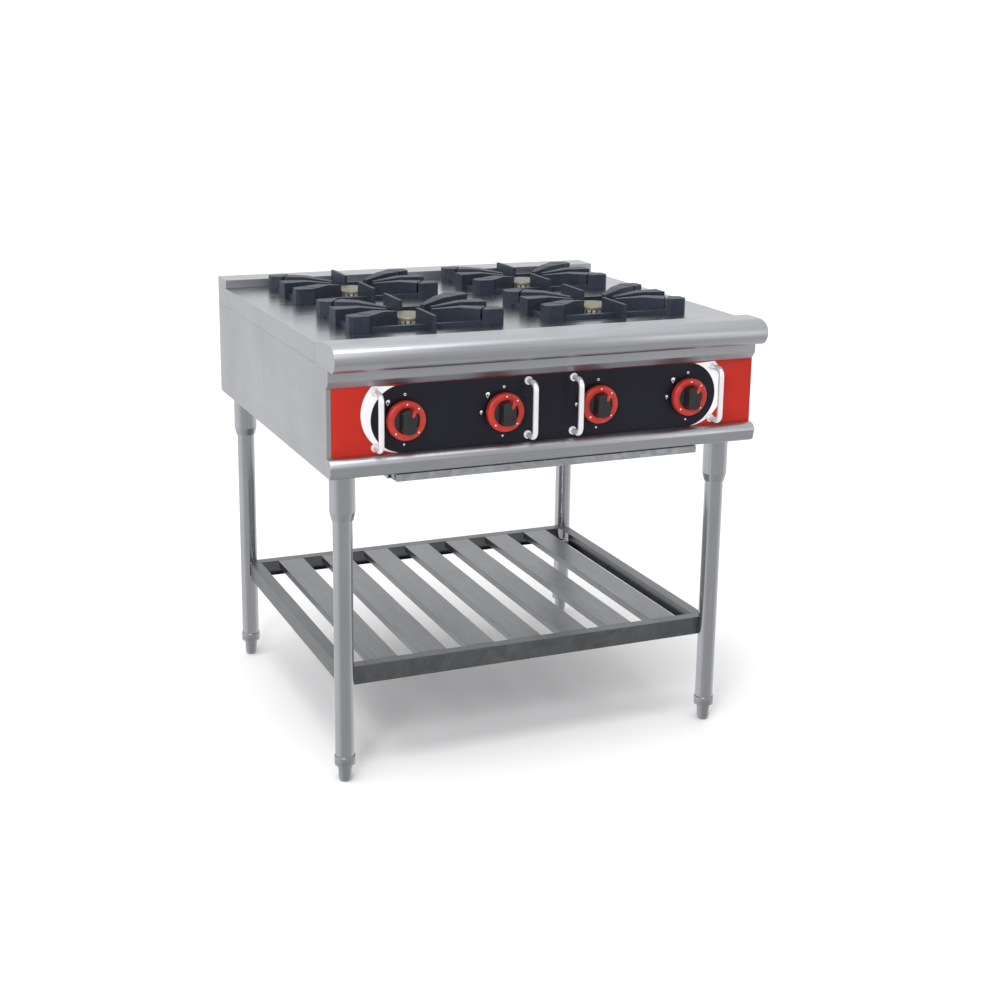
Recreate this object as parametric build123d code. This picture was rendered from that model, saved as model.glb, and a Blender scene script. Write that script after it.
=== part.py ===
from build123d import *
import os
from math import atan2, cos, degrees, hypot, radians, sin

os.makedirs("parts", exist_ok=True)

# Free-standing four-burner gas range on a tubular stand with a slatted shelf.
# Millimetres. +X is the user's right, +Y points to the back, +Z is up.
# The origin is the middle of the footprint, on the floor.

# ---- Driving dimensions ------------------------------------------------------
WIDTH = 900.0
DEPTH = 864.0
SHEET = 2.0

HALF_WIDTH = WIDTH / 2
FRONT_Y = -DEPTH / 2
REAR_Y = DEPTH / 2

BODY_BOTTOM_Z = 634.0
PANEL_BOTTOM_Z = 670.0
PANEL_TOP_Z = 801.0
SEAM_Z = 837.0
COOKTOP_Z = 877.0
NOSE_TOP_Z = 886.0
LEDGE_TOP_Z = 896.0

PANEL_Y = -377.0
FASCIA_Y = -388.0
FASCIA_BACK_Y = -370.0
NOSE_BACK_Y = -317.0
RAMP_TOP_Y = -352.0
RAIL_FRONT_Y = -400.0
RAIL_BACK_Y = -360.5
PANEL_LEFT_X = -440.5
LEDGE_FRONT_Y = 362.0
BACK_PANEL_Y = 405.0

LEG_X = 405.0
LEG_FRONT_Y = -326.0
LEG_REAR_Y = 396.0
LEG_R = 19.0
LEG_WALL = 1.5
LEG_BOTTOM_Z = 40.0
SOCKET_R = 25.0
SOCKET_BOTTOM_Z = 536.0
FOOT_H = 35.8
STEM_R = 6.0

SHELF_TOP_Z = 232.0
SHELF_RAIL_H = 38.0
SHELF_RAIL_W = 25.0
SHELF_FRONT_Y = -319.0
SHELF_REAR_Y = 389.0
SHELF_SIDE_X = 409.0
SLAT_COUNT = 7
SLAT_W = 60.0
SLAT_PITCH = 104.4
SLAT_H = 15.0

BURNER_X = 204.0
BURNER_FRONT_Y = -142.0
BURNER_REAR_Y = 217.0
BURNER_HOLE_R = 45.0
HEAD_R = 42.0
HEAD_BOTTOM_Z = 858.0
HEAD_TOP_Z = 881.0
CAP_TOP_Z = 889.0
VENTURI_Z = 815.0

TRIVET_TOP_Z = 909.0
TRIVET_HALF_X = 159.0
TRIVET_HALF_Y = 113.0
TRIVET_BASE_X = 150.0
TRIVET_BASE_Y = 107.0
FIN_REACH = 145.0
ARM_TIP_R = 47.0
ARM_TIP_HALF = 5.0

KNOB_XS = (-300.0, -100.0, 100.0, 300.0)
KNOB_Z = 734.0
KNOB_R = 38.0
KNOB_BACK_Y = -384.0
KNOB_FRONT_Y = -415.0
KNOB_FACE_R = 25.0
GRIP_HALF = 16.0
SPINDLE_R = 5.0
SPINDLE_HOLE_R = 7.0
SPINDLE_FLAT = 1.5
SPINDLE_END_Y = -335.0
FIT = 0.05

HANDLE_XS = (-357.0, -48.0, 48.0, 357.0)
HANDLE_ROD_R = 5.5
HANDLE_FRONT_Y = -415.0
HANDLE_Z = 737.0
HANDLE_HALF_Z = 53.0

OVERLAY_T = 1.0
OVERLAY_H = 130.0

PIPE_R = 10.65
THREAD_R = 10.48
PIPE_BORE_R = 8.0
MANIFOLD_Y = -312.0
INLET_X = 420.0
SUPPLY_R = 4.0

TRAY_HALF_X = 320.0
TRAY_FRONT_Y = -381.0
TRAY_REAR_Y = 380.0
TRAY_BOTTOM_Z = 618.0
TRAY_TOP_Z = 632.0
RUNNER_LEDGE_X = 300.0
RUNNER_WEB_X = 322.5
RUNNER_OUTER_X = 375.0
BASE_RAIL_INNER_X = 350.0

LEGS = {
    "front_left": (-LEG_X, LEG_FRONT_Y),
    "front_right": (LEG_X, LEG_FRONT_Y),
    "rear_left": (-LEG_X, LEG_REAR_Y),
    "rear_right": (LEG_X, LEG_REAR_Y),
}
BURNERS = {
    "front_left": (-BURNER_X, BURNER_FRONT_Y),
    "front_right": (BURNER_X, BURNER_FRONT_Y),
    "rear_left": (-BURNER_X, BURNER_REAR_Y),
    "rear_right": (BURNER_X, BURNER_REAR_Y),
}
# Each valve, left to right, feeds the burner named here.
VALVE_FEEDS = ("rear_left", "front_left", "front_right", "rear_right")


# ---- Helpers -----------------------------------------------------------------
def block(x0, x1, y0, y1, z0, z1):
    """Box between two corners."""
    size = Box(abs(x1 - x0), abs(y1 - y0), abs(z1 - z0))
    return Pos((x0 + x1) / 2, (y0 + y1) / 2, (z0 + z1) / 2) * size


def rod_z(x, y, r, z0, z1):
    """Upright cylinder."""
    return Pos(x, y, (z0 + z1) / 2) * Cylinder(r, z1 - z0)


def rod_y(x, z, r, y0, y1):
    """Cylinder that runs front to back."""
    return Pos(x, (y0 + y1) / 2, z) * Rot(90, 0, 0) * Cylinder(r, y1 - y0)


def rod_x(y, z, r, x0, x1):
    """Cylinder that runs left to right."""
    return Pos((x0 + x1) / 2, y, z) * Rot(0, 90, 0) * Cylinder(r, x1 - x0)


def prism_x(points, x0, x1):
    """A (y, z) outline drawn out along X."""
    face = Plane.YZ.offset(x0) * make_face(Polyline(*points, close=True))
    return extrude(face, amount=x1 - x0)


def prism_z(points, z0, z1):
    """An (x, y) outline drawn out along Z."""
    face = Plane.XY.offset(z0) * make_face(Polyline(*points, close=True))
    return extrude(face, amount=z1 - z0)


def turned(points):
    """An (r, z) outline turned about the Z axis."""
    face = Plane.XZ * make_face(Polyline(*points, close=True))
    return revolve(face, Axis.Z)


def pipe(points, bend_r, outer_r, inner_r=0.0):
    """Round pipe or rod along straight runs joined by tangent arcs."""
    path = FilletPolyline(*points, radius=bend_r)
    start = Plane(origin=path @ 0, z_dir=path % 0)
    made = sweep(start * Circle(outer_r), path=path)
    if inner_r:
        made -= sweep(start * Circle(inner_r), path=path)
    return made


def save(shape, node):
    """Writes one sub-part to its own file."""
    solids = shape.solids()
    body = solids[0] if len(solids) == 1 else Compound(children=list(solids))
    export_step(body, f"parts/{node}.step")


# ---- Stand -------------------------------------------------------------------
def leg(x, y):
    """Stainless tube from the end insert up to the body."""
    outer = rod_z(x, y, LEG_R, LEG_BOTTOM_Z, BODY_BOTTOM_Z)
    return outer - rod_z(x, y, LEG_R - LEG_WALL, LEG_BOTTOM_Z - 1, BODY_BOTTOM_Z + 1)


def leg_socket(x, y):
    """Flanged sleeve under the body that the leg is pinched in, tapered at its mouth."""
    taper = 16.0
    mouth = 30.0
    r_in = LEG_R + 0.1
    profile = [
        (r_in, SOCKET_BOTTOM_Z),
        (r_in + 2.0, SOCKET_BOTTOM_Z),
        (SOCKET_R, SOCKET_BOTTOM_Z + taper),
        (SOCKET_R, BODY_BOTTOM_Z),
        (SOCKET_R - 2.0, BODY_BOTTOM_Z),
        (SOCKET_R - 2.0, SOCKET_BOTTOM_Z + mouth + 4.0),
        (r_in, SOCKET_BOTTOM_Z + mouth),
    ]
    return Pos(x, y, 0) * turned(profile)


def leg_end_insert(x, y):
    """Cup pressed over the tube's end, with the nut for the foot's stem."""
    rim_r = 20.6
    band_top = 54.0
    bottom = 36.0
    nut_top = 58.0
    profile = [
        (STEM_R + FIT, bottom),
        (rim_r, bottom),
        (rim_r, band_top),
        (LEG_R + 0.1, band_top),
        (LEG_R + 0.1, LEG_BOTTOM_Z - 0.1),
        (12.0, LEG_BOTTOM_Z - 0.1),
        (12.0, nut_top),
        (STEM_R + FIT, nut_top),
    ]
    return Pos(x, y, 0) * turned(profile)


def foot(x, y):
    """Bullet foot on a threaded stem."""
    stem_top = 92.0
    profile = [
        (0.0, 0.0),
        (9.0, 0.0),
        (10.6, 1.0),
        (12.0, 5.0),
        (13.0, 14.0),
        (13.2, 26.0),
        (14.0, 27.0),
        (14.0, FOOT_H),
        (STEM_R, FOOT_H),
        (STEM_R, stem_top - 1.0),
        (STEM_R - 1.0, stem_top),
        (0.0, stem_top),
    ]
    return Pos(x, y, 0) * turned(profile)


# ---- Shelf -------------------------------------------------------------------
def channel_rail_x(y_outer, inward):
    """Long rail of the shelf: a folded channel, cope-cut round the two legs."""
    z0 = SHELF_TOP_Z - SHELF_RAIL_H
    y_in = y_outer + inward * SHELF_RAIL_W
    lip = y_outer + inward * 14.0
    web = y_outer + inward * SHEET
    rail = block(-LEG_X, LEG_X, y_outer, web, z0, SHELF_TOP_Z)
    rail += block(-LEG_X, LEG_X, y_outer, y_in, SHELF_TOP_Z - SHEET, SHELF_TOP_Z)
    rail += block(-LEG_X, LEG_X, y_outer, lip, z0, z0 + SHEET)
    y_leg = LEG_FRONT_Y if y_outer < 0 else LEG_REAR_Y
    for x in (-LEG_X, LEG_X):
        rail -= rod_z(x, y_leg, LEG_R + 0.1, z0 - 5, SHELF_TOP_Z + 5)
    return rail


def channel_rail_y(side):
    """Side rail of the shelf, between the two long rails."""
    z0 = SHELF_TOP_Z - SHELF_RAIL_H
    y0 = SHELF_FRONT_Y + SHELF_RAIL_W
    y1 = SHELF_REAR_Y - SHELF_RAIL_W
    x_out = side * SHELF_SIDE_X
    rail = block(x_out, x_out - side * SHEET, y0, y1, z0, SHELF_TOP_Z)
    rail += block(x_out, x_out - side * SHELF_RAIL_W, y0, y1, SHELF_TOP_Z - SHEET, SHELF_TOP_Z)
    rail += block(x_out, x_out - side * 14.0, y0, y1, z0, z0 + SHEET)
    return rail


def slat(x):
    """Shelf slat: an inverted channel welded between the long rails."""
    y0 = SHELF_FRONT_Y + SHELF_RAIL_W
    y1 = SHELF_REAR_Y - SHELF_RAIL_W
    z0 = SHELF_TOP_Z - SLAT_H
    outer = block(x - SLAT_W / 2, x + SLAT_W / 2, y0, y1, z0, SHELF_TOP_Z)
    inner = block(x - SLAT_W / 2 + SHEET, x + SLAT_W / 2 - SHEET, y0 - 1, y1 + 1, z0 - 1, SHELF_TOP_Z - SHEET)
    return outer - inner


# ---- Body --------------------------------------------------------------------
def side_panel(side):
    """Side skin with turned-in flanges; the left one also has a narrow return beside the control panel."""
    front = PANEL_Y + SHEET
    outline = [
        (FASCIA_BACK_Y, SEAM_Z),
        (FASCIA_BACK_Y, PANEL_TOP_Z),
        (front, PANEL_TOP_Z),
        (front, PANEL_BOTTOM_Z),
        (RAIL_BACK_Y, PANEL_BOTTOM_Z),
        (RAIL_BACK_Y, BODY_BOTTOM_Z),
        (REAR_Y, BODY_BOTTOM_Z),
        (REAR_Y, SEAM_Z),
    ]
    x_in, x_out = sorted((side * (HALF_WIDTH - SHEET), side * HALF_WIDTH))
    panel = prism_x(outline, x_in, x_out)
    x_flange = side * (HALF_WIDTH - 16.0)
    panel += block(side * HALF_WIDTH, x_flange, RAIL_BACK_Y, REAR_Y - 30, SEAM_Z - SHEET, SEAM_Z)
    panel += block(side * HALF_WIDTH, x_flange, REAR_Y - SHEET, REAR_Y, BODY_BOTTOM_Z, SEAM_Z)
    if side < 0:
        panel += block(-HALF_WIDTH, PANEL_LEFT_X - 0.2, PANEL_Y, front, PANEL_BOTTOM_Z, PANEL_TOP_Z)
    return panel


def back_panel():
    """Recessed back skin with two rows of cooling slots and the gas pipe's hole."""
    x = HALF_WIDTH - SHEET - 0.5
    panel = block(-x, x, BACK_PANEL_Y, BACK_PANEL_Y + SHEET, BODY_BOTTOM_Z, SEAM_Z)
    slot_w, slot_h, slots = 80.0, 8.0, 6
    for row_z in (775.0, 800.0):
        for i in range(slots):
            cx = (i - (slots - 1) / 2) * 115.0 - 20.0
            cut = Plane.XZ.offset(-BACK_PANEL_Y - 5) * Pos(cx, row_z) * SlotOverall(slot_w, slot_h)
            panel -= extrude(cut, amount=10)
    return panel - rod_y(INLET_X, KNOB_Z, PIPE_R + 2.0, BACK_PANEL_Y - 5, BACK_PANEL_Y + 10)


def base_rail(side):
    """Bottom angle along each side, which the sockets are welded to."""
    x_out = side * (HALF_WIDTH - SHEET - 0.2)
    x_in = side * BASE_RAIL_INNER_X
    rail = block(x_out, x_in, -358.0, BACK_PANEL_Y - 0.5, BODY_BOTTOM_Z, BODY_BOTTOM_Z + 3)
    rail += block(x_in, x_in + side * 3, -358.0, BACK_PANEL_Y - 0.5, BODY_BOTTOM_Z, BODY_BOTTOM_Z + 22)
    return rail


def folded_rail(outline, y_back):
    """Full-width hollow rail from a closed (y, z) outline: open at the back, capped at both ends."""
    inner_x = HALF_WIDTH - SHEET
    outer = extrude(Plane.YZ.offset(-HALF_WIDTH) * outline, amount=WIDTH)
    inside = offset(outline, amount=-SHEET)
    hollow = extrude(Plane.YZ.offset(-inner_x) * inside, amount=2 * inner_x)
    edge = hollow.bounding_box()
    depth = 3 * SHEET
    back = outer & block(-inner_x, inner_x, y_back - depth, y_back, edge.min.Z, NOSE_TOP_Z)
    mouth = Pos(0, depth, 0) * (hollow & block(-inner_x, inner_x, y_back - 2 * depth, y_back, 0, NOSE_TOP_Z))
    return outer - hollow - (mouth & back)


def front_rail():
    """Rail along the bottom of the front, rounded at its top edge."""
    top, bottom = PANEL_BOTTOM_Z, BODY_BOTTOM_Z
    bend_y = RAIL_FRONT_Y + 14.0
    chin = (RAIL_FRONT_Y + 4.0, bottom + 3.0)
    brow = (RAIL_FRONT_Y, bottom + 22.0)
    shape = Polyline(brow, chin, (chin[0] + 4.0, bottom), (RAIL_BACK_Y, bottom), (RAIL_BACK_Y, top), (bend_y, top))
    shape += ThreePointArc((bend_y, top), (RAIL_FRONT_Y + 4.5, bottom + 32.0), brow)
    return folded_rail(make_face(shape), RAIL_BACK_Y)


def front_nose():
    """Rolled front of the worktop: a short ramp, a flat top, a round nose and closed ends."""
    crest = (FRONT_Y + 37.0, NOSE_TOP_Z)
    brow = (FRONT_Y + 13.0, NOSE_TOP_Z - 5.0)
    front = (FRONT_Y, SEAM_Z + 24.2)
    under = (FRONT_Y + 17.0, SEAM_Z)
    shape = Polyline(under, (NOSE_BACK_Y, SEAM_Z), (NOSE_BACK_Y, COOKTOP_Z), (RAMP_TOP_Y, NOSE_TOP_Z), crest)
    shape += TangentArc(crest, brow, tangent=(-1, 0))
    shape += TangentArc(front, brow, tangent=(0, 1))
    shape += TangentArc(front, under, tangent=(0, -1))
    return folded_rail(make_face(shape), NOSE_BACK_Y)


def fascia_strip():
    """Folded strip between the nose and the control panel."""
    bend_z = PANEL_TOP_Z + 14.0
    outer = [
        (FASCIA_BACK_Y, SEAM_Z),
        (FASCIA_Y, SEAM_Z),
        (FASCIA_Y, bend_z),
        (PANEL_Y, PANEL_TOP_Z),
        (FASCIA_BACK_Y, PANEL_TOP_Z),
    ]
    inner = [
        (FASCIA_BACK_Y + 5, SEAM_Z - SHEET),
        (FASCIA_Y + SHEET, SEAM_Z - SHEET),
        (FASCIA_Y + SHEET, bend_z + 0.6),
        (PANEL_Y + 0.9, PANEL_TOP_Z + SHEET),
        (FASCIA_BACK_Y + 5, PANEL_TOP_Z + SHEET),
    ]
    return prism_x(outer, -HALF_WIDTH, HALF_WIDTH) - prism_x(inner, -HALF_WIDTH + SHEET, HALF_WIDTH - SHEET)


def control_panel():
    """Enamelled plate that carries the valves and the guard handles."""
    plate = block(PANEL_LEFT_X, HALF_WIDTH, PANEL_Y, PANEL_Y + SHEET, PANEL_BOTTOM_Z + 0.2, PANEL_TOP_Z - 0.2)
    for kx in KNOB_XS:
        plate -= rod_y(kx, KNOB_Z, SPINDLE_HOLE_R, PANEL_Y - 5, PANEL_Y + 5)
    return plate


def panel_overlay():
    """Black printed overlay with round ends, centred on the outer knobs."""
    middle_z = (PANEL_BOTTOM_Z + PANEL_TOP_Z) / 2
    outline = Plane.XZ.offset(-PANEL_Y) * Pos(0, middle_z) * SlotCenterToCenter(2 * KNOB_XS[3], OVERLAY_H)
    sheet = extrude(outline, amount=OVERLAY_T)
    for kx in KNOB_XS:
        sheet -= rod_y(kx, KNOB_Z, SPINDLE_HOLE_R, PANEL_Y - 5, PANEL_Y + 5)
    return sheet


def cooktop():
    """Flat worktop sheet with skirts down the sides and back and a round opening over each burner."""
    x = HALF_WIDTH
    top = block(-x, x, NOSE_BACK_Y, REAR_Y, COOKTOP_Z - SHEET, COOKTOP_Z)
    for side in (-1, 1):
        top += block(side * x, side * (x - SHEET), NOSE_BACK_Y, REAR_Y, SEAM_Z, COOKTOP_Z)
    top += block(-x, x, REAR_Y - SHEET, REAR_Y, SEAM_Z, COOKTOP_Z)
    for bx, by in BURNERS.values():
        top -= rod_z(bx, by, BURNER_HOLE_R, COOKTOP_Z - 10, COOKTOP_Z + 5)
    return top


def rear_ledge():
    """Low upstand along the back of the worktop, folded and open underneath."""
    outer = block(-HALF_WIDTH, HALF_WIDTH, LEDGE_FRONT_Y, REAR_Y, COOKTOP_Z, LEDGE_TOP_Z)
    inner = block(-HALF_WIDTH + SHEET, HALF_WIDTH - SHEET, LEDGE_FRONT_Y + SHEET, REAR_Y - SHEET,
                  COOKTOP_Z - 1, LEDGE_TOP_Z - SHEET)
    return outer - inner


# ---- Drip tray ---------------------------------------------------------------
def drip_tray():
    """Shallow crumb tray that hangs under the body and pulls out to the front: its plates, welded edge to edge."""
    t = 1.5
    lip = 10.0
    x0, x1 = -TRAY_HALF_X, TRAY_HALF_X
    front, rear = TRAY_FRONT_Y, TRAY_REAR_Y
    floor_top, top = TRAY_BOTTOM_Z + t, TRAY_TOP_Z
    return [
        block(x0, x1, front, rear, TRAY_BOTTOM_Z, floor_top),
        block(x0, x0 + t, front + t, rear - t, floor_top, top),
        block(x1 - t, x1, front + t, rear - t, floor_top, top),
        block(x0, x1, rear - t, rear, floor_top, top),
        block(x0, x1, front, front + t, floor_top, top),
        block(x0, x1, front - lip, front, top - t, top),
        block(x0, x1, front - lip, front - lip + t, TRAY_BOTTOM_Z, top - t),
    ]


def tray_runner(side):
    """Z-shaped runner under the base rail: ledge, web and flange."""
    y0, y1 = -355.0, 384.0
    ledge_top = TRAY_BOTTOM_Z - 0.3
    web = side * RUNNER_WEB_X
    flange_bottom = BODY_BOTTOM_Z - SHEET
    return [
        block(side * RUNNER_LEDGE_X, web + side * SHEET, y0, y1, ledge_top - SHEET, ledge_top),
        block(web, web + side * SHEET, y0, y1, ledge_top, flange_bottom),
        block(web, side * RUNNER_OUTER_X, y0, y1, flange_bottom, BODY_BOTTOM_Z),
    ]


# ---- Controls ----------------------------------------------------------------
def guard_handle(x):
    """Bent rod that stands out in front of the panel beside a knob."""
    on_overlay = abs(x) < 300
    y_root = PANEL_Y - (OVERLAY_T if on_overlay else 0)
    z0, z1 = HANDLE_Z - HANDLE_HALF_Z, HANDLE_Z + HANDLE_HALF_Z
    path = [(x, y_root, z1), (x, HANDLE_FRONT_Y, z1), (x, HANDLE_FRONT_Y, z0), (x, y_root, z0)]
    rod = pipe(path, 14.0, HANDLE_ROD_R)
    for z in (z0, z1):
        rod += rod_y(x, z, HANDLE_ROD_R + 2.5, y_root - 2.5, y_root)
    return rod


def knob(x):
    """Round skirt with a raised rim round its face and a broad upright grip, bored for the spindle."""
    rim_front = KNOB_BACK_Y - 13.0
    face = rim_front + 3.0
    made = rod_y(x, KNOB_Z, KNOB_R, rim_front, KNOB_BACK_Y)
    made = made.fillet(2.0, made.edges().group_by(Axis.Y)[0])
    made -= rod_y(x, KNOB_Z, KNOB_FACE_R, rim_front - 1, face)
    grip = rod_y(x, KNOB_Z, KNOB_FACE_R - 1.0, KNOB_FRONT_Y, face)
    grip &= block(x - GRIP_HALF, x + GRIP_HALF, KNOB_FRONT_Y, face, KNOB_Z - KNOB_R, KNOB_Z + KNOB_R)
    made += grip
    bore_end = KNOB_BACK_Y - 24.5
    bore = rod_y(x, KNOB_Z, SPINDLE_R + FIT, bore_end, KNOB_BACK_Y + 1)
    flat_z = KNOB_Z + SPINDLE_R - SPINDLE_FLAT + FIT
    bore -= block(x - 10, x + 10, bore_end - 1, KNOB_BACK_Y + 2, flat_z, flat_z + 10)
    return made - bore


def valve_spindle(x):
    """Turning plug of the gas valve with a flatted shaft."""
    tip_y = KNOB_BACK_Y - 20.0
    flat_end = KNOB_BACK_Y + 6.0
    flat_z = KNOB_Z + SPINDLE_R - SPINDLE_FLAT
    shaft = rod_y(x, KNOB_Z, SPINDLE_R, tip_y, SPINDLE_END_Y)
    return shaft - block(x - 10, x + 10, tip_y - 1, flat_end, flat_z, flat_z + 20)


def valve_body(x):
    """Brass valve clamped on the manifold pipe, behind the control panel."""
    made = block(x - 14, x + 14, -366.0, MANIFOLD_Y + 2, KNOB_Z - 14, KNOB_Z + 14)
    made += rod_y(x, KNOB_Z, 11.0, -372.0, -366.0)
    made -= rod_x(MANIFOLD_Y, KNOB_Z, PIPE_R + 0.1, x - 20, x + 20)
    return made - rod_y(x, KNOB_Z, SPINDLE_R + FIT, -375.0, SPINDLE_END_Y + 2)


def gas_manifold():
    """Pipe behind the valves that turns back along the right side and ends in the inlet stub."""
    capped_x = -345.0
    stub_y0, stub_y1 = BACK_PANEL_Y + 3.0, REAR_Y - 2.0
    path = [(capped_x, MANIFOLD_Y, KNOB_Z), (INLET_X, MANIFOLD_Y, KNOB_Z), (INLET_X, stub_y0, KNOB_Z)]
    made = pipe(path, 32.0, PIPE_R, PIPE_BORE_R)
    made += rod_x(MANIFOLD_Y, KNOB_Z, PIPE_R, capped_x - 3.0, capped_x)
    stub = rod_y(INLET_X, KNOB_Z, THREAD_R, stub_y0, stub_y1)
    return made + (stub - rod_y(INLET_X, KNOB_Z, PIPE_BORE_R, stub_y0 - 1, stub_y1 + 1))


def supply_tube(valve_x, burner):
    """Thin tube from the top of a valve to the burner's jet."""
    bx, by = BURNERS[burner]
    z_low = KNOB_Z + 14.0
    y_front = -345.0
    y_jet = by - 164.0
    y_turn = y_jet - 30.0 if by > 0 else y_front
    path = [(valve_x, y_front, z_low), (valve_x, y_front, VENTURI_Z)]
    if by > 0:
        path.append((valve_x, y_turn, VENTURI_Z))
    path += [(bx, y_turn, VENTURI_Z), (bx, y_jet, VENTURI_Z)]
    return pipe(path, 14.0, SUPPLY_R)


def injector(bx, by):
    """Brass jet at the end of the supply tube."""
    y0 = by - 164.0
    return rod_y(bx, VENTURI_Z, 7.0, y0, y0 + 6) + rod_y(bx, VENTURI_Z, 4.5, y0 + 6, y0 + 13)


def burner_body(bx, by):
    """Cast mixing tube, neck and ported head in one piece."""
    mouth_y = by - 148.0
    made = rod_y(bx, VENTURI_Z, 14.0, mouth_y + 10, by)
    made += rod_y(bx, VENTURI_Z, 19.0, mouth_y, mouth_y + 12)
    made += rod_z(bx, by, 24.0, VENTURI_Z - 18, HEAD_BOTTOM_Z)
    made += rod_z(bx, by, HEAD_R, HEAD_BOTTOM_Z, HEAD_TOP_Z)
    made -= rod_y(bx, VENTURI_Z, 11.0, mouth_y - 1, by)
    made -= rod_z(bx, by, 20.0, VENTURI_Z - 14, HEAD_TOP_Z + 1)
    made -= rod_z(bx, by, HEAD_R - 7, HEAD_BOTTOM_Z + 4, HEAD_TOP_Z + 1)
    ports = 24
    for i in range(ports):
        angle = 360.0 * i / ports
        slot = Rot(0, 0, angle) * block(HEAD_R - 10, HEAD_R + 2, -1.2, 1.2, HEAD_TOP_Z - 5, HEAD_TOP_Z + 1)
        made -= Pos(bx, by, 0) * slot
    return made


def burner_cap(bx, by):
    """Loose cap that sits in the burner head."""
    skirt_r = HEAD_R - 7.5
    profile = [
        (0.0, HEAD_TOP_Z),
        (skirt_r - 2.0, HEAD_TOP_Z),
        (skirt_r - 2.0, HEAD_TOP_Z - 4),
        (skirt_r, HEAD_TOP_Z - 4),
        (skirt_r, HEAD_TOP_Z + 0.05),
        (HEAD_R, HEAD_TOP_Z + 0.05),
        (HEAD_R, CAP_TOP_Z - 2.5),
        (HEAD_R - 2.5, CAP_TOP_Z),
        (0.0, CAP_TOP_Z),
    ]
    return Pos(bx, by, 0) * turned(profile)


def burner_rail(y):
    """Angle across the body that the burner necks stand on."""
    z1 = VENTURI_Z - 18
    x = HALF_WIDTH - SHEET - 0.5
    rail = block(-x, x, y - 12, y + 12, z1 - 3, z1)
    return rail + block(-x, x, y - 12, y - 9, z1 - 24, z1)


# ---- Trivets -----------------------------------------------------------------
def arm_outline(angle, outer):
    """Plan of one arm: a narrow tip by the burner that widens to its outer corners."""
    a = radians(angle)
    along = (cos(a), sin(a))
    across = (-sin(a), cos(a))
    left = [ARM_TIP_R * c + ARM_TIP_HALF * s for c, s in zip(along, across)]
    right = [ARM_TIP_R * c - ARM_TIP_HALF * s for c, s in zip(along, across)]
    return [tuple(right), *outer, tuple(left)]


def trivet_arm(angle, outer):
    """One wedge-shaped arm whose top dips towards its tip."""
    arm = prism_z(arm_outline(angle, outer), COOKTOP_Z, TRIVET_TOP_Z)
    dip = 8.0
    run = 62.0
    tip = ARM_TIP_R - 3.0
    wedge = [(tip, TRIVET_TOP_Z + 1), (tip, TRIVET_TOP_Z - dip), (tip + run, TRIVET_TOP_Z), (tip + run, TRIVET_TOP_Z + 1)]
    face = Plane.XZ.offset(-60) * make_face(Polyline(*wedge, close=True))
    cut = Rot(0, 0, angle) * extrude(face, amount=120)
    return arm - cut


def corner_slot(sx, sy):
    """Slot that parts a corner block from the rest of its arm."""
    angle = degrees(atan2(sy * TRIVET_HALF_Y, sx * TRIVET_HALF_X))
    r = hypot(124.0, 88.0)
    slot = block(r - 2.0, r + 2.0, -50, 50, COOKTOP_Z + 9, TRIVET_TOP_Z + 5)
    return Rot(0, 0, angle) * slot


def trivet(bx, by):
    """Cast pan support: a low frame, six wedge arms and two thin fins."""
    hx, hy = TRIVET_HALF_X, TRIVET_HALF_Y
    base_x, base_y = TRIVET_BASE_X, TRIVET_BASE_Y
    bar = 10.0
    bar_top = COOKTOP_Z + 9.0
    made = block(-base_x, base_x, -base_y, base_y, COOKTOP_Z, bar_top)
    made -= block(-base_x + bar, base_x - bar, -base_y + bar, base_y - bar, COOKTOP_Z - 1, bar_top + 1)
    for sx in (-1, 1):
        ends = [(sx * hx, -20.0), (sx * hx, 20.0)]
        made += trivet_arm(0 if sx > 0 else 180, ends if sx > 0 else ends[::-1])
        for sy in (-1, 1):
            ends = [(sx * hx, sy * 84.0), (sx * hx, sy * (hy - 6)), (sx * (hx - 6), sy * hy), (sx * 121.0, sy * hy)]
            angle = degrees(atan2(sy * hy, sx * hx))
            made += trivet_arm(angle, ends if sx * sy > 0 else ends[::-1])
            made -= corner_slot(sx, sy)
    for sy in (-1, 1):
        made += block(-3.5, 3.5, sy * ARM_TIP_R, sy * FIN_REACH, COOKTOP_Z, TRIVET_TOP_Z)
    return Pos(bx, by, 0) * made


# ---- Write every sub-part ----------------------------------------------------
def group(shapes):
    """Several separate solids in one node."""
    return Compound(children=[s.solid() for s in shapes])


for name, (x, y) in LEGS.items():
    save(leg(x, y), f"leg_{name}")
    save(foot(x, y), f"foot_{name}")
save(group([leg_socket(x, y) for x, y in LEGS.values()]), "leg_sockets")
save(group([leg_end_insert(x, y) for x, y in LEGS.values()]), "leg_end_inserts")

save(channel_rail_x(SHELF_FRONT_Y, 1), "shelf_rail_front")
save(channel_rail_x(SHELF_REAR_Y, -1), "shelf_rail_rear")
save(channel_rail_y(-1), "shelf_rail_left")
save(channel_rail_y(1), "shelf_rail_right")
for i in range(SLAT_COUNT):
    save(slat((i - (SLAT_COUNT - 1) / 2) * SLAT_PITCH), f"shelf_slat_{i + 1}")

save(side_panel(-1), "side_panel_left")
save(side_panel(1), "side_panel_right")
save(back_panel(), "back_panel")
save(group([base_rail(-1), base_rail(1)]), "base_rails")
save(front_rail(), "front_rail")
save(front_nose(), "front_nose")
save(fascia_strip(), "fascia_strip")
save(control_panel(), "control_panel")
save(panel_overlay(), "panel_overlay")
save(cooktop(), "cooktop")
save(rear_ledge(), "rear_ledge")
save(group(drip_tray()), "drip_tray")
save(group(tray_runner(-1) + tray_runner(1)), "tray_runners")

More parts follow.
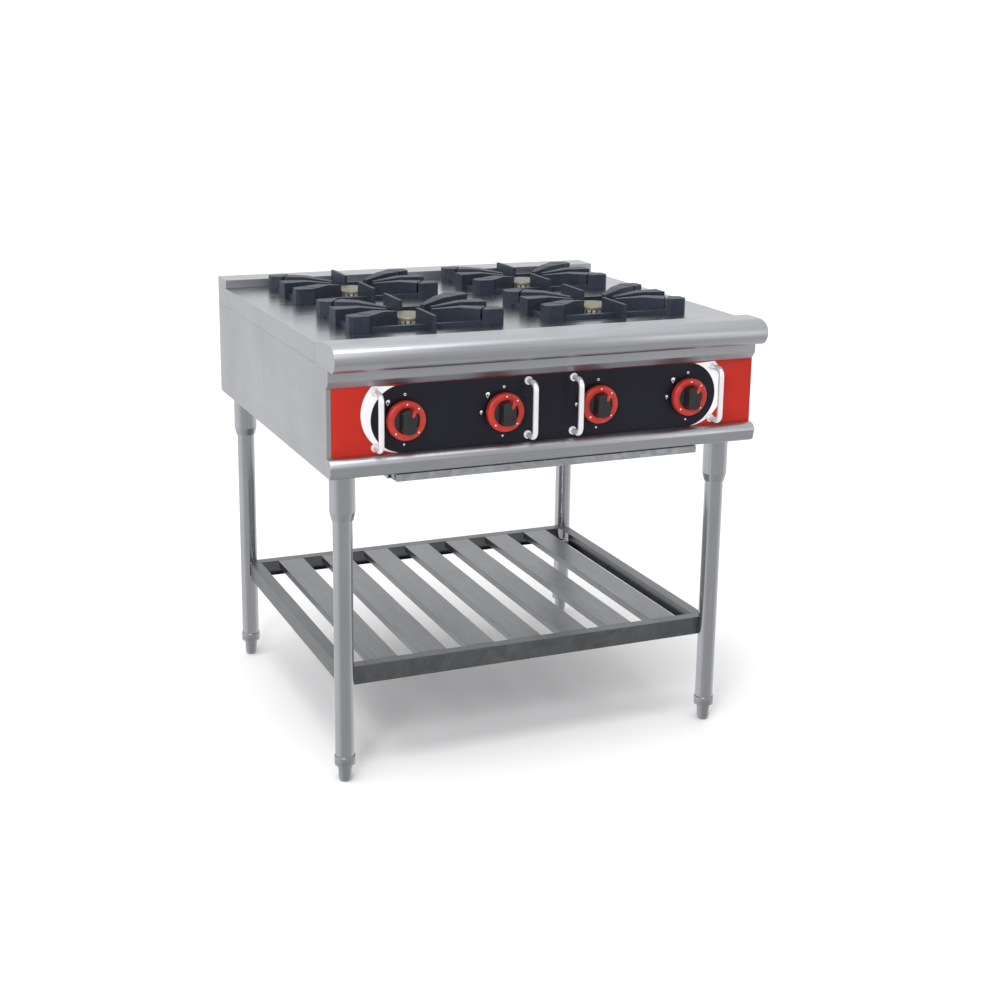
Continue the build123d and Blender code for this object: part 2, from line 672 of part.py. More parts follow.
for i, x in enumerate(HANDLE_XS):
    save(guard_handle(x), f"guard_handle_{i + 1}")
for i, x in enumerate(KNOB_XS):
    save(knob(x), f"knob_{i + 1}")
    save(valve_spindle(x), f"valve_spindle_{i + 1}")
save(group([valve_body(x) for x in KNOB_XS]), "valve_bodies")
save(gas_manifold(), "gas_manifold")
save(group([supply_tube(x, b) for x, b in zip(KNOB_XS, VALVE_FEEDS)]), "supply_tubes")
save(group([injector(x, y) for x, y in BURNERS.values()]), "injectors")
save(group([burner_body(x, y) for x, y in BURNERS.values()]), "burner_bodies")
save(group([burner_rail(y) for y in (BURNER_FRONT_Y, BURNER_REAR_Y)]), "burner_rails")
for name, (x, y) in BURNERS.items():
    save(burner_cap(x, y), f"burner_cap_{name}")
    save(trivet(x, y), f"trivet_{name}")
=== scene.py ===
import math

import bmesh
import bpy
from mathutils import Matrix, Vector


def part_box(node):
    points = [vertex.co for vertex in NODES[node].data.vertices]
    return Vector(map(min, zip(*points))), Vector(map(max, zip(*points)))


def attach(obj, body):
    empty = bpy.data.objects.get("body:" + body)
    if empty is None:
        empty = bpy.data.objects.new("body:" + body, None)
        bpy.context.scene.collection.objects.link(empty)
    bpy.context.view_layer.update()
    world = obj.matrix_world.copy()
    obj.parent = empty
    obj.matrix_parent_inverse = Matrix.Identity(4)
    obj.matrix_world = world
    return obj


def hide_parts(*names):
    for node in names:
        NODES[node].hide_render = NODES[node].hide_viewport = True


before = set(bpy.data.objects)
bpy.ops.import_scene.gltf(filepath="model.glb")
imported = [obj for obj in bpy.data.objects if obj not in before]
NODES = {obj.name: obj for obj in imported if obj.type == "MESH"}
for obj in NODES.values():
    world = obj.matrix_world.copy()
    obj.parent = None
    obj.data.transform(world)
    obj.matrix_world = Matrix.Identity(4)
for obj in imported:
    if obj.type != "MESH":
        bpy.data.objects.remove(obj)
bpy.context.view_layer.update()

MM = 0.001
KNOBS = 4
SLATS = 7
ROUND_STEPS = 96
CAD_EDGE_ANGLE = 32
PIECE_EDGE_ANGLE = 35
SMUDGE = 0.08


# ---- Node trees --------------------------------------------------------------
class Surface:
    """One procedural material: a Principled shader and the short calls that feed it."""

    def __init__(self, name, metallic=0.0, coat=0.0, specular=0.5):
        self.material = bpy.data.materials.new(name)
        self.material.use_nodes = True
        self.tree = self.material.node_tree
        self.shader = self.tree.nodes["Principled BSDF"]
        self.shader.inputs["Metallic"].default_value = metallic
        self.shader.inputs["Coat Weight"].default_value = coat
        self.shader.inputs["Coat Roughness"].default_value = 0.08
        self.shader.inputs["Specular IOR Level"].default_value = specular
        where = self.add("ShaderNodeTexCoord")
        self.place = where.outputs["Object"]
        self.bearing = where.outputs["Normal"]

    def add(self, kind, inputs=None, **settings):
        node = self.tree.nodes.new(kind)
        for key, value in settings.items():
            setattr(node, key, value)
        for key, value in (inputs or {}).items():
            if isinstance(value, bpy.types.NodeSocket):
                self.tree.links.new(value, node.inputs[key])
            else:
                node.inputs[key].default_value = value
        return node

    def noise(self, scale, stretch=(1, 1, 1), detail=4.0, roughness=0.55, distortion=0.0):
        """Noise in object space, from 0 to 1. A small stretch draws it out along that axis."""
        placed = self.add("ShaderNodeMapping", {"Vector": self.place, "Scale": stretch}).outputs[0]
        values = {"Vector": placed, "Scale": scale, "Detail": detail, "Roughness": roughness,
                  "Distortion": distortion}
        return self.add("ShaderNodeTexNoise", values).outputs["Fac"]

    def span(self, value, low, high, start=0.3, end=0.7):
        """Maps start..end of a value to low..high."""
        values = {"Value": value, "From Min": start, "From Max": end,
                  "To Min": low, "To Max": high}
        return self.add("ShaderNodeMapRange", values).outputs[0]

    def blend(self, factor, first, second):
        """Mixes two colours."""
        node = self.add("ShaderNodeMix", data_type="RGBA")
        for index, value in ((0, factor), (6, first), (7, second)):
            if isinstance(value, bpy.types.NodeSocket):
                self.tree.links.new(value, node.inputs[index])
            elif index == 0:
                node.inputs[index].default_value = value
            else:
                node.inputs[index].default_value = (*value, 1)
        return node.outputs[2]

    def mix(self, factor, first, second):
        """Mixes two numbers."""
        values = {0: factor, 2: first, 3: second}
        return self.add("ShaderNodeMix", values, data_type="FLOAT").outputs[0]

    def math(self, kind, first, second):
        return self.add("ShaderNodeMath", {0: first, 1: second}, operation=kind).outputs[0]

    def bump(self, height, strength, distance, normal=None):
        values = {"Height": height, "Strength": strength, "Distance": distance}
        if normal is not None:
            values["Normal"] = normal
        return self.add("ShaderNodeBump", values).outputs[0]

    def finish(self, colour, roughness, normal):
        """Feeds the shader and hands over the finished material."""
        for key, value in (("Base Color", colour), ("Roughness", roughness), ("Normal", normal)):
            self.tree.links.new(value, self.shader.inputs[key])
        return self.material


def drawn_out(axis):
    """Noise scale that draws the grain out along one axis."""
    return [4 if i == axis else 260 for i in range(3)]


def shade(colour, factor):
    """A colour made darker or lighter."""
    return tuple(c * factor for c in colour)


# ---- Materials ---------------------------------------------------------------
def brushed(name, grain, colour, roughness, streak=0.10, bump=0.10):
    """Stainless steel brushed along one axis, with handling smudges.

    A face that looks along the grain would show its streaks as dots, so such a face takes the
    next axis instead."""
    s = Surface(name, metallic=1.0)
    along = "xyz".index(grain)
    grains = (drawn_out(along), drawn_out((along + 1) % 3))
    facing = s.add("ShaderNodeSeparateXYZ", {0: s.bearing}).outputs[along]
    end_on = s.math("GREATER_THAN", s.math("ABSOLUTE", facing, 0.0), 0.8)
    fine = s.mix(end_on, *(s.noise(1.0, each, detail=3.0, roughness=0.7) for each in grains))
    wide = s.mix(end_on, *(s.noise(0.16, each, detail=2.0) for each in grains))
    smudge = s.noise(5.0, detail=5.0, roughness=0.6, distortion=0.6)
    lines = s.math("ADD", s.math("MULTIPLY", fine, 0.65), s.math("MULTIPLY", wide, 0.35))
    dark, bright = shade(colour, 1 - streak), shade(colour, 1 + streak)
    tone = s.blend(s.span(lines, 0, 1, 0.35, 0.65), dark, bright)
    tone = s.blend(s.span(smudge, 0, 1, 0.35, 0.7), tone, shade(colour, 1 - SMUDGE))
    smooth, dull = roughness - 0.03, roughness + 0.05
    rough = s.math("ADD", s.span(fine, -0.05, 0.06), s.span(smudge, smooth, dull))
    return s.finish(tone, rough, s.bump(fine, bump, 0.15 * MM))


def mill_steel(name, colour):
    """Rolled sheet with a mottled, slightly smeared reflection."""
    s = Surface(name, metallic=1.0)
    mottle = s.noise(26.0, (1, 0.45, 1), detail=6.0, roughness=0.68, distortion=0.8)
    drift = s.noise(5.5, (1, 0.5, 1), detail=3.0)
    grain = s.noise(1.0, (300, 12, 300), detail=2.0)
    tone = s.blend(s.span(mottle, 0, 1, 0.36, 0.66), shade(colour, 0.80), shade(colour, 1.16))
    tone = s.blend(s.span(drift, 0, 0.55, 0.35, 0.65), tone, shade(colour, 0.74))
    rough = s.math("ADD", s.span(mottle, 0.26, 0.40), s.span(grain, -0.04, 0.04))
    return s.finish(tone, rough, s.bump(mottle, 0.12, 0.4 * MM, s.bump(grain, 0.08, 0.1 * MM)))


def galvanised(name, colour):
    """Zinc coated sheet: crystal spangles of slightly different grey."""
    s = Surface(name, metallic=1.0)
    cells = s.add("ShaderNodeTexVoronoi", {"Vector": s.place, "Scale": 85.0, "Randomness": 1.0})
    bright = s.add("ShaderNodeSeparateColor", {0: cells.outputs["Color"]}).outputs[0]
    drift = s.noise(7.0, detail=5.0)
    tone = s.blend(bright, shade(colour, 0.82), shade(colour, 1.14))
    tone = s.blend(s.span(drift, 0, 0.5), tone, shade(colour, 0.75))
    rough = s.math("ADD", s.span(bright, -0.06, 0.06, 0, 1), s.span(drift, 0.38, 0.52))
    return s.finish(tone, rough, s.bump(cells.outputs["Distance"], 0.06, 0.3 * MM))


def enamel(name, colour, roughness, coat):
    """Glossy paint with faint orange peel and a little dust."""
    s = Surface(name, coat=coat, specular=0.22)
    peel = s.noise(420.0, detail=2.0)
    drift = s.noise(6.0, detail=4.0)
    dust = s.noise(900.0, detail=2.0, roughness=0.8)
    tone = s.blend(s.span(drift, 0, 1), shade(colour, 0.90), shade(colour, 1.08))
    tone = s.blend(s.span(dust, 0, 0.10, 0.66, 0.78), tone, (0.6, 0.58, 0.55))
    rough = s.span(drift, roughness - 0.03, roughness + 0.06)
    return s.finish(tone, rough, s.bump(peel, 0.05, 0.1 * MM))


def casting(name, colour, edge_wear_and_highlight_tone, roughness, metallic, depth=0.5):
    """Sand casting: fine, lighter pimples on slow lumps, and lighter edges that are partly edge
    wear and partly a painted highlight.
    """
    s = Surface(name, metallic=metallic, specular=0.45)
    sand = s.noise(620.0, detail=5.0, roughness=0.65)
    lump = s.noise(70.0, detail=3.0)
    rounded = s.add("ShaderNodeBevel", {"Radius": 1.6 * MM}, samples=6).outputs[0]
    flat = s.add("ShaderNodeNewGeometry").outputs["Normal"]
    turned = s.add("ShaderNodeVectorMath", {0: rounded, 1: flat}, operation="DOT_PRODUCT")
    edge = s.span(turned.outputs["Value"], 1, 0, 0.86, 0.99)
    # Lighter edges: partly edge wear, partly a painted highlight where light catches the rounded
    # edges.
    edge_wear_and_highlight = s.math("MULTIPLY", edge, s.span(sand, 0.15, 0.85, 0.35, 0.6))
    tone = s.blend(s.span(lump, 0, 1), shade(colour, 0.78), shade(colour, 1.22))
    tone = s.blend(s.span(sand, 0, 0.35, 0.5, 0.75), tone, shade(colour, 1.7))
    tone = s.blend(s.math("MULTIPLY", edge_wear_and_highlight, 0.55), tone, edge_wear_and_highlight_tone)
    grit = s.span(sand, roughness - 0.06, roughness + 0.10)
    rough = s.math("SUBTRACT", grit, s.math("MULTIPLY", edge_wear_and_highlight, 0.12))
    return s.finish(tone, rough, s.bump(sand, depth, 0.25 * MM, s.bump(lump, 0.2, 0.5 * MM)))


def chromed(name, colour, roughness):
    """Bright plated rod with hairline scratches."""
    s = Surface(name, metallic=0.55)
    hair = s.noise(1.0, (900, 900, 40), detail=2.0)
    haze = s.noise(30.0, detail=4.0)
    tone = s.blend(s.span(haze, 0, 1), shade(colour, 0.95), colour)
    smooth, dull = roughness - 0.02, roughness + 0.05
    rough = s.math("ADD", s.span(hair, -0.02, 0.04), s.span(haze, smooth, dull))
    return s.finish(tone, rough, s.bump(hair, 0.03, 0.05 * MM))


def moulded(name, colour, roughness, coat=0.0):
    """Moulded plastic with a fine spark-eroded grain."""
    s = Surface(name, coat=coat)
    grain = s.noise(1500.0, detail=2.0)
    wear = s.noise(60.0, detail=5.0)
    tone = s.blend(s.span(wear, 0, 1), shade(colour, 0.82), shade(colour, 1.2))
    smooth, dull = roughness - 0.04, roughness + 0.06
    rough = s.math("ADD", s.span(grain, -0.04, 0.05), s.span(wear, smooth, dull))
    return s.finish(tone, rough, s.bump(grain, 0.12, 0.08 * MM))


def machined(name, colour, roughness):
    """Turned metal: rings round the front-to-back axis and a little tarnish."""
    s = Surface(name, metallic=1.0)
    rings = s.noise(1.0, (30, 1400, 30), detail=2.0)
    tarnish = s.noise(70.0, detail=6.0, roughness=0.6)
    tone = s.blend(s.span(tarnish, 0, 0.8), colour, shade(colour, 0.58))
    smooth, dull = roughness - 0.03, roughness + 0.14
    rough = s.math("ADD", s.span(rings, -0.04, 0.05), s.span(tarnish, smooth, dull))
    return s.finish(tone, rough, s.bump(rings, 0.10, 0.1 * MM))


def floor_paint(name, colour):
    """Matt studio floor with a barely visible mottle."""
    s = Surface(name, specular=0.15)
    drift = s.noise(1.2, detail=4.0)
    grain = s.noise(260.0, detail=2.0)
    tone = s.blend(s.span(drift, 0, 1), shade(colour, 0.985), colour)
    return s.finish(tone, s.span(grain, 0.75, 0.9), s.bump(grain, 0.02, 0.2 * MM))


STEEL = (0.49, 0.50, 0.53)
MATERIALS = {
    "sheet_x": brushed("stainless_brushed_across", "x", STEEL, 0.40),
    "sheet_y": brushed("stainless_brushed_deep", "y", shade(STEEL, 0.95), 0.36),
    "sheet_top": brushed("stainless_worktop", "x", shade(STEEL, 0.80), 0.24, streak=0.06,
                         bump=0.05),
    "tube": brushed("stainless_tube", "z", STEEL, 0.17, streak=0.07),
    # The shelf is mill-finish steel darkened as painted shade under the worktop; its rails are
    # darker still, as painted deeper shade.
    "shelf": mill_steel("mill_sheet_painted_shade", shade(STEEL, 0.52)),
    "shelf_rail": mill_steel("mill_sheet_painted_deep_shade", shade(STEEL, 0.36)),
    "zinc": galvanised("galvanised_sheet", (0.50, 0.52, 0.54)),
    "red": enamel("red_enamel", (0.46, 0.016, 0.007), 0.36, 0.04),
    "black": enamel("black_overlay", (0.009, 0.009, 0.016), 0.34, 0.02),
    "white": enamel("white_print", (0.86, 0.86, 0.88), 0.35, 0.2),
    "iron": casting("cast_iron", (0.020, 0.027, 0.045), (0.12, 0.14, 0.18), 0.46, 0.15),
    "cap": casting("burner_cap_casting", (0.20, 0.19, 0.15), (0.42, 0.41, 0.36), 0.46, 0.6,
                   depth=0.3),
    "head": casting("burner_head_casting", (0.26, 0.25, 0.20), (0.5, 0.49, 0.44), 0.50, 0.7),
    "chrome": chromed("chrome_rod", (0.93, 0.93, 0.95), 0.20),
    "knob_black": moulded("knob_black_plastic", (0.012, 0.013, 0.015), 0.36),
    "knob_red": moulded("knob_red_plastic", (0.44, 0.024, 0.014), 0.36, coat=0.1),
    "brass": machined("brass_machined", (0.72, 0.52, 0.24), 0.28),
    "pipe": machined("zinc_plated_pipe", (0.44, 0.45, 0.46), 0.40),
    "drawn": machined("drawn_aluminium", (0.72, 0.73, 0.74), 0.30),
    "foot": brushed("foot_stainless", "z", shade(STEEL, 0.82), 0.30),
    "floor": floor_paint("studio_floor", (0.90, 0.90, 0.905)),
}

# Both tables go by how a node's name starts.
NODE_MATERIAL = {
    "side_panel": "sheet_y", "back_panel": "sheet_x", "front_nose": "sheet_x",
    "front_rail": "sheet_x", "fascia_strip": "sheet_x", "rear_ledge": "sheet_x",
    "cooktop": "sheet_top", "leg_front": "tube", "leg_rear": "tube", "leg_sockets": "tube",
    "leg_end": "foot", "foot": "foot", "shelf_rail": "shelf_rail", "shelf_slat": "shelf",
    "base_rails": "zinc", "drip_tray": "zinc", "tray_runners": "zinc", "burner_rails": "zinc",
    "control_panel": "red", "panel_overlay": "black", "trivet": "iron", "burner_cap": "cap",
    "burner_bodies": "head", "guard_handle": "chrome", "knob": "knob_black", "valve": "brass",
    "injectors": "brass", "gas_manifold": "pipe", "supply_tubes": "drawn",
}

# Widths of the rounded edges, in millimetres.
EDGE = {"trivet": 1.5, "burner_cap": 0.8, "burner_bodies": 0.5, "shelf": 0.9, "side_panel": 0.9,
        "front_nose": 0.9, "front_rail": 0.9, "fascia_strip": 0.9, "cooktop": 0.9,
        "rear_ledge": 0.9,
        "control_panel": 0.3, "panel_overlay": 0.3, "back_panel": 0.4, "drip_tray": 0.5,
        "tray_runners": 0.4, "base_rails": 0.6, "leg_end": 0.5}


def lookup(table, node):
    """The entry whose key starts the node's name, or None."""
    return next((value for key, value in table.items() if node.startswith(key)), None)


def bevel(obj, width, segments, angle):
    """Rounds the edges that turn by more than an angle in degrees."""
    edge = obj.modifiers.new("rounded_edges", "BEVEL")
    edge.width = width
    edge.segments = segments
    edge.limit_method = "ANGLE"
    edge.angle_limit = math.radians(angle)
    edge.harden_normals = True


def round_edges(obj, width):
    """Merges the doubled vertices of a CAD mesh, rejoins its flat faces and rounds its edges."""
    weld = obj.modifiers.new("weld", "WELD")
    weld.merge_threshold = 0.01 * MM
    flat = obj.modifiers.new("flat_faces", "DECIMATE")
    flat.decimate_type = "DISSOLVE"
    flat.angle_limit = math.radians(0.4)
    bevel(obj, width, 2, CAD_EDGE_ANGLE)


def dress_frame():
    """Gives each CAD node its material and its small edge radius."""
    for name, obj in NODES.items():
        material = MATERIALS[lookup(NODE_MATERIAL, name)]
        if obj.data.materials:
            for i in range(len(obj.data.materials)):
                obj.data.materials[i] = material
        else:
            obj.data.materials.append(material)
        width = lookup(EDGE, name)
        if width:
            round_edges(obj, width * MM)


# ---- New pieces --------------------------------------------------------------
def piece(name, bm, material, body, smooth=40):
    """A mesh piece that rides on a CAD body."""
    bmesh.ops.recalc_face_normals(bm, faces=bm.faces)
    mesh = bpy.data.meshes.new(name)
    bm.to_mesh(mesh)
    bm.free()
    mesh.materials.append(MATERIALS[material])
    obj = bpy.data.objects.new(name, mesh)
    bpy.context.scene.collection.objects.link(obj)
    mesh.shade_smooth()
    mesh.set_sharp_from_angle(angle=math.radians(smooth))
    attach(obj, body)
    return obj


def lathe(bm, centre, profile):
    """Turns an (r, y) outline about the front-to-back axis through centre."""
    rings = []
    for i in range(ROUND_STEPS):
        a = 2 * math.pi * i / ROUND_STEPS
        x, z = math.cos(a), math.sin(a)
        rings.append([bm.verts.new((centre[0] + r * x, y, centre[2] + r * z)) for r, y in profile])
    for i in range(ROUND_STEPS):
        near, far = rings[i], rings[(i + 1) % ROUND_STEPS]
        for j in range(len(profile) - 1):
            bm.faces.new([near[j], near[j + 1], far[j + 1], far[j]])
    bmesh.ops.remove_doubles(bm, verts=bm.verts, dist=0.005 * MM)


def plate(bm, outline, y0, y1):
    """A closed (x, z) outline as a thin slab between two depths."""
    front = [bm.verts.new((x, y0, z)) for x, z in outline]
    back = [bm.verts.new((x, y1, z)) for x, z in outline]
    count = len(outline)
    bm.faces.new(front)
    bm.faces.new(back[::-1])
    for i in range(count):
        bm.faces.new([front[i], back[i], back[(i + 1) % count], front[(i + 1) % count]])


def arc(centre, radius, start, end, count):
    """Points of an arc, angles in degrees."""
    angles = [math.radians(start + (end - start) * i / (count - 1)) for i in range(count)]
    return [(centre[0] + radius * math.cos(a), centre[1] + radius * math.sin(a)) for a in angles]


# ---- Knobs -------------------------------------------------------------------
def knob(index):
    """Red rim, black dished face with a broad grip, a red pointer and four white dots."""
    name = f"knob_{index}"
    low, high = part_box(name)
    centre = (low + high) / 2
    middle = (centre.x, centre.z)
    rim_depth, rim_width, face_depth = 13 * MM, 13.5 * MM, 2.6 * MM
    outer = (high.x - low.x) / 2
    back, front = high.y, low.y
    rim = back - rim_depth
    inner = outer - rim_width
    face = rim + face_depth

    bm = bmesh.new()
    crown = [(outer - 2.2 * MM, back), (outer - 0.4 * MM, back - 0.3 * MM),
             (outer, back - 1.6 * MM), (outer, rim + 4.5 * MM),
             (outer - 0.7 * MM, rim + 2.0 * MM), (outer - 2.4 * MM, rim + 0.5 * MM),
             (outer - 5.0 * MM, rim), (inner + 2.5 * MM, rim),
             (inner + 0.7 * MM, rim + 0.5 * MM), (inner, rim + 1.6 * MM),
             (inner, face + 2.5 * MM)]
    lathe(bm, centre, crown)
    ring = piece(f"knob_rim_{index}", bm, "knob_red", name)
    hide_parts(name)

    bm = bmesh.new()
    dish = [(outer - 2.2 * MM, back - 0.2 * MM), (6.0 * MM, back - 0.2 * MM),
            (6.0 * MM, back - 2.4 * MM), (inner - 1.0 * MM, back - 2.4 * MM),
            (inner - 0.2 * MM, face + 0.4 * MM), (inner - 0.8 * MM, face),
            (0.0, face - 0.6 * MM)]
    lathe(bm, centre, dish)
    piece(f"knob_face_{index}", bm, "knob_black", name)

    bm = bmesh.new()
    half, reach = 15.0 * MM, inner - 0.9 * MM
    side = math.degrees(math.acos(half / reach))
    top = arc(middle, reach, side, 180 - side, 15)
    bottom = arc(middle, reach, 180 + side, 360 - side, 15)
    plate(bm, top + bottom, front + 0.3 * MM, face + 0.2 * MM)
    # The grip's front is narrower than its foot and falls back to both sides.
    for v in bm.verts:
        if v.co.y < front + 1 * MM:
            v.co.x = centre.x + (v.co.x - centre.x) * 0.86
            v.co.z = centre.z + (v.co.z - centre.z) * 0.95
            across = (v.co.x - centre.x) / half
            v.co.y += 0.9 * MM * abs(across)
    grip = piece(f"knob_grip_{index}", bm, "knob_black", name)
    bevel(grip, 1.6 * MM, 4, PIECE_EDGE_ANGLE)

    bm = bmesh.new()
    tip = [(-1.6, 11.5), (1.6, 11.5), (3.4, 16.5), (4.4, 25.0), (-4.4, 25.0), (-3.4, 16.5)]
    turn = Matrix.Rotation(math.radians(-24), 2)
    outline = [turn @ Vector(p) * MM + Vector(middle) for p in tip]
    plate(bm, [tuple(p) for p in outline], front + 0.02 * MM, face + 0.5 * MM)
    pointer = piece(f"knob_pointer_{index}", bm, "knob_red", name)
    bevel(pointer, 0.7 * MM, 3, PIECE_EDGE_ANGLE)

    bm = bmesh.new()
    circle = (inner + outer) / 2 + 0.5 * MM
    for angle in (90, 45, -45, -135):
        a = math.radians(angle)
        spot = (centre.x + circle * math.cos(a), centre.z + circle * math.sin(a))
        plate(bm, arc(spot, 1.5 * MM, 0, 345, 24), rim - 0.12 * MM, rim + 0.4 * MM)
    piece(f"knob_dots_{index}", bm, "white", name)


# ---- Control panel prints ----------------------------------------------------
def crescent(side):
    """White print beyond the overlay's round end, thickest at its top outer side."""
    low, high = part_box("panel_overlay")
    panel_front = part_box("control_panel")[0].y
    radius = (high.z - low.z) / 2
    middle_z = (high.z + low.z) / 2
    inner_centre = (high.x - radius, middle_z)
    outer_centre = (inner_centre[0] + 8.4 * MM, middle_z + 11.6 * MM)
    outer_radius = 76 * MM
    top = high.z
    start = math.degrees(math.asin((top - outer_centre[1]) / outer_radius))
    outer = arc(outer_centre, outer_radius, start, -93, 64)
    inner = arc(inner_centre, radius + 0.25 * MM, -88, 74, 64)
    outline = [(side * x, min(max(z, low.z), top)) for x, z in outer + inner]
    bm = bmesh.new()
    plate(bm, outline, panel_front - 0.5 * MM, panel_front - 0.02 * MM)
    name = "crescent_left" if side < 0 else "crescent_right"
    piece(name, bm, "white", "root")


def flame(centre, width, height):
    """Outline of a plain flame: a teardrop with its tip to one side."""
    steps, lean, fullness, taper = 40, 0.12, 1.25, 1.6
    points = []
    for i in range(steps):
        t = 2 * math.pi * i / steps
        x = math.sin(t) * math.sin(t / 2) ** taper
        z = -math.cos(t)
        sideways = x * fullness + lean * (z + 1) ** 2 / 2
        points.append((centre[0] + width / 2 * sideways, centre[1] + height / 2 * z))
    return points


def ring_band(bm, outer, inner, y0, y1):
    """The band between two outlines that have the same number of points."""
    count = len(outer)
    near_outer, near_inner, far_outer, far_inner = (
        [bm.verts.new((x, y, z)) for x, z in outline]
        for y in (y0, y1) for outline in (outer, inner))
    for i in range(count):
        j = (i + 1) % count
        bm.faces.new([near_outer[i], near_outer[j], near_inner[j], near_inner[i]])
        bm.faces.new([far_outer[i], far_inner[i], far_inner[j], far_outer[j]])
        bm.faces.new([near_outer[i], far_outer[i], far_outer[j], near_outer[j]])
        bm.faces.new([near_inner[i], near_inner[j], far_inner[j], far_inner[i]])


def knob_marks(index):
    """Off mark above, pilot mark below, and a large and a small flame to the left of one knob."""
    low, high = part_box(f"knob_{index}")
    centre = (low + high) / 2
    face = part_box("panel_overlay")[0].y
    y0, y1 = face - 0.2 * MM, face - 0.01 * MM
    x, z = centre.x, centre.z
    bm = bmesh.new()
    off = (x + 2 * MM, z + 47 * MM)
    ring_band(bm, arc(off, 2.6 * MM, 0, 345, 24), arc(off, 1.5 * MM, 0, 345, 24), y0, y1)
    star = []
    for i in range(16):
        a = 2 * math.pi * i / 16
        r = (2.8 if i % 2 == 0 else 1.1) * MM
        star.append((x + r * math.cos(a), z - 48.5 * MM + r * math.sin(a)))
    plate(bm, star, y0, y1)
    large = ((x - 32 * MM, z + 33 * MM), 9 * MM, 12 * MM)
    small = ((x - 45 * MM, z), 6 * MM, 8.5 * MM)
    for spot, width, height in (large, small):
        hollow = (spot[0], spot[1] - 0.10 * height)
        inside = flame(hollow, width * 0.5, height * 0.5)
        ring_band(bm, flame(spot, width, height), inside, y0, y1)
    piece(f"knob_marks_{index}", bm, "white", "root")


# ---- Small pieces ------------------------------------------------------------
def screw(bm, centre, axis, radius):
    """Pan-head screw with a cross recess, standing out along axis."""
    steps = 28
    profile = [(0.0, 0.42), (0.45, 0.40), (0.8, 0.28), (0.97, 0.10), (1.0, 0.0)]
    turn = Vector((0, 0, 1)).rotation_difference(Vector(axis)).to_matrix()
    rings = []
    for r, h in profile:
        row = []
        for i in range(steps):
            a = 2 * math.pi * i / steps
            dip = 0.16 if r < 0.5 and min(abs(math.sin(a)), abs(math.cos(a))) < 0.26 else 0.0
            local = Vector((r * math.cos(a), r * math.sin(a), h - dip)) * radius
            row.append(bm.verts.new(Vector(centre) + turn @ local))
        rings.append(row)
    for inner, outer in zip(rings, rings[1:]):
        for i in range(steps):
            bm.faces.new([inner[i], outer[i], outer[(i + 1) % steps], inner[(i + 1) % steps]])
    bmesh.ops.remove_doubles(bm, verts=bm.verts, dist=0.002 * MM)


def screws():
    """Screws that hold the back panel."""
    low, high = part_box("back_panel")
    per_row, inset_x, inset_z, radius = 6, 12 * MM, 14 * MM, 4.2 * MM
    bm = bmesh.new()
    for z in (low.z + inset_z, high.z - inset_z):
        for i in range(per_row):
            x = low.x + inset_x + i * (high.x - low.x - 2 * inset_x) / (per_row - 1)
            screw(bm, (x, high.y, z), (0, 1, 0), radius)
    piece("back_panel_screws", bm, "foot", "root")


def weld_beads():
    """Short welds where the slats meet the shelf's long rails."""
    steps, radius, flattened = 9, 1.5 * MM, 0.75
    bm = bmesh.new()
    for i in range(1, SLATS + 1):
        low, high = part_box(f"shelf_slat_{i}")
        for y, into in ((low.y, 1), (high.y, -1)):
            for x in (low.x, high.x):
                for k in range(steps):
                    z = low.z + (k + 0.5) * (high.z - low.z - 2 * MM) / steps
                    made = bmesh.ops.create_icosphere(bm, subdivisions=2, radius=radius)
                    place = Matrix.Translation((x, y + into * 0.3 * MM, z))
                    place = place @ Matrix.Diagonal((1, 1, flattened, 1))
                    bmesh.ops.transform(bm, matrix=place, verts=made["verts"])
    piece("shelf_weld_beads", bm, "shelf", "root", smooth=80)


# ---- Stage -------------------------------------------------------------------
def floor():
    """A wide pale disc that the steel does not mirror."""
    radius = 60.0
    angles = [2 * math.pi * i / ROUND_STEPS for i in range(ROUND_STEPS)]
    rim = [(radius * math.cos(a), radius * math.sin(a), 0) for a in angles]
    bm = bmesh.new()
    bm.faces.new([bm.verts.new(point) for point in rim])
    mesh = bpy.data.meshes.new("floor")
    bm.to_mesh(mesh)
    bm.free()
    mesh.materials.append(MATERIALS["floor"])
    obj = bpy.data.objects.new("floor", mesh)
    bpy.context.scene.collection.objects.link(obj)
    obj.visible_glossy = False


def softbox(name, place, aim, size, power):
    """A rectangular area light turned towards a point."""
    light = bpy.data.lights.new(name, "AREA")
    light.shape = "RECTANGLE"
    light.size, light.size_y = size
    light.energy = power
    obj = bpy.data.objects.new(name, light)
    obj.location = place
    obj.rotation_mode = "QUATERNION"
    obj.rotation_quaternion = (Vector(aim) - Vector(place)).to_track_quat("-Z", "Y")
    bpy.context.scene.collection.objects.link(obj)


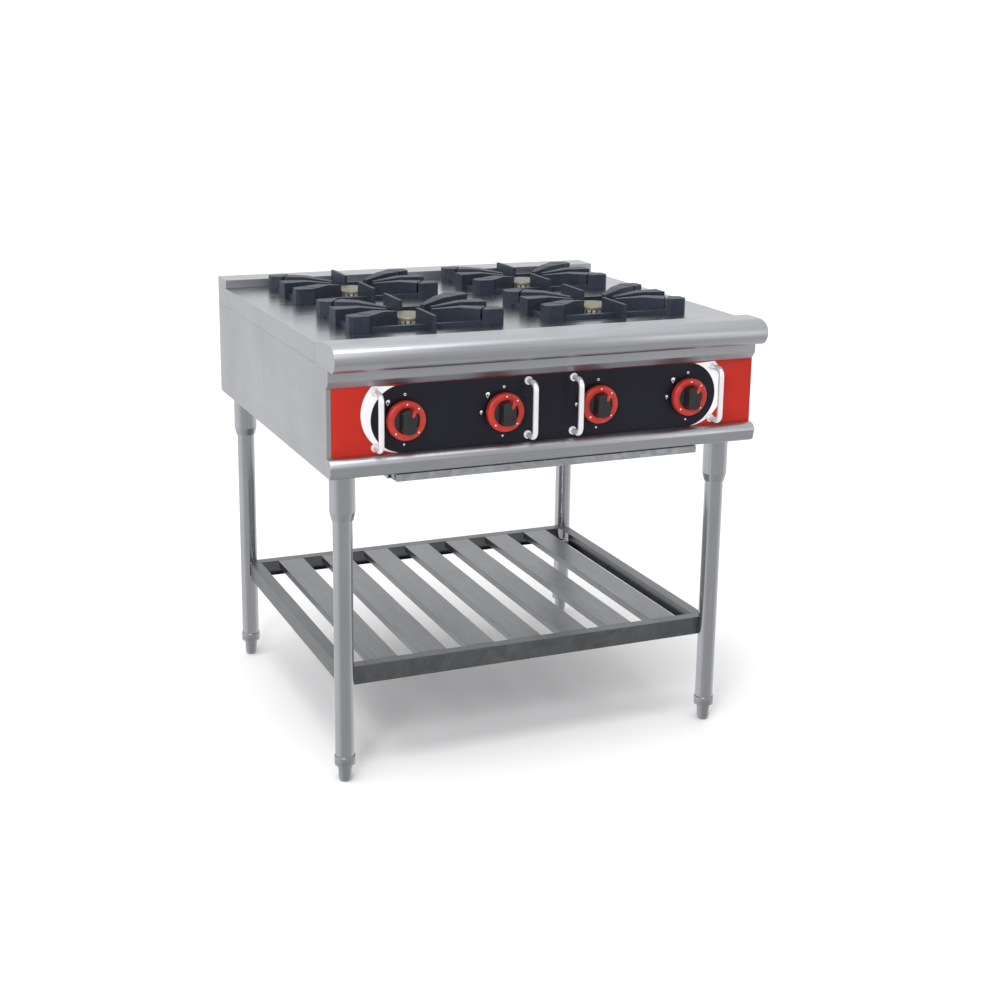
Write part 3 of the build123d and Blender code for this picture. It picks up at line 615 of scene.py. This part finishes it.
def studio():
    """Pale surroundings, a soft key from the front left, a weaker fill from the right, a sky."""
    world = bpy.data.worlds.new("studio")
    bpy.context.scene.world = world
    world.use_nodes = True
    tree = world.node_tree
    toward = tree.nodes.new("ShaderNodeSeparateXYZ")
    tree.links.new(tree.nodes.new("ShaderNodeTexCoord").outputs["Generated"], toward.inputs[0])
    # Direction axis, where its ramp starts and ends, and the strength before the start.
    ramps = (("Y", -0.75, 0.15, 0.60), ("Z", -0.60, -0.02, 0.80))
    levels = []
    for axis, start, end, dark in ramps:
        level = tree.nodes.new("ShaderNodeMapRange")
        level.interpolation_type = "SMOOTHSTEP"
        values = {"From Min": start, "From Max": end, "To Min": dark, "To Max": 1.0}
        for key, value in values.items():
            level.inputs[key].default_value = value
        tree.links.new(toward.outputs[axis], level.inputs["Value"])
        levels.append(level.outputs[0])
    strength = tree.nodes.new("ShaderNodeMath")
    strength.operation = "MULTIPLY"
    tree.links.new(levels[0], strength.inputs[0])
    tree.links.new(levels[1], strength.inputs[1])
    background = tree.nodes["Background"]
    background.inputs["Color"].default_value = (1, 1, 1, 1)
    tree.links.new(strength.outputs[0], background.inputs["Strength"])
    aim = (0, 0, 0.6)
    softbox("key", (-2.6, -3.6, 2.9), aim, (1.2, 2.0), 80)
    softbox("fill", (3.4, -3.0, 1.6), aim, (0.7, 2.6), 16)
    sun = bpy.data.lights.new("sky", "SUN")
    sun.energy = 1.3
    sun.angle = math.radians(35)
    high = bpy.data.objects.new("sky", sun)
    high.rotation_euler = (math.radians(12), math.radians(-10), 0)
    bpy.context.scene.collection.objects.link(high)


def camera():
    """A long lens at the front left, half a metre above the worktop."""
    place = (-1.2856, -3.10225, 1.4231)
    yaw, pitch, roll = math.radians(23.43), math.radians(-14.1), math.radians(0.81)
    ahead, down = math.cos(pitch), math.sin(pitch)
    look = Vector((math.sin(yaw) * ahead, math.cos(yaw) * ahead, down))
    level = Vector((math.cos(yaw), -math.sin(yaw), 0))
    upright = level.cross(look)
    right = math.cos(roll) * level + math.sin(roll) * upright
    up = -math.sin(roll) * level + math.cos(roll) * upright
    data = bpy.data.cameras.new("camera")
    data.sensor_width = 36
    data.lens = 57.6
    data.shift_y = -0.06
    data.clip_end = 200
    obj = bpy.data.objects.new("camera", data)
    turn = Matrix((right, up, -look)).transposed()
    obj.matrix_world = Matrix.Translation(place) @ turn.to_4x4()
    bpy.context.scene.collection.objects.link(obj)
    bpy.context.scene.camera = obj


camera()
studio()
floor()
dress_frame()
for number in range(1, KNOBS + 1):
    knob(number)
    knob_marks(number)
for side in (-1, 1):
    crescent(side)
screws()
weld_beads()
bpy.context.scene.view_settings.view_transform = "Standard"
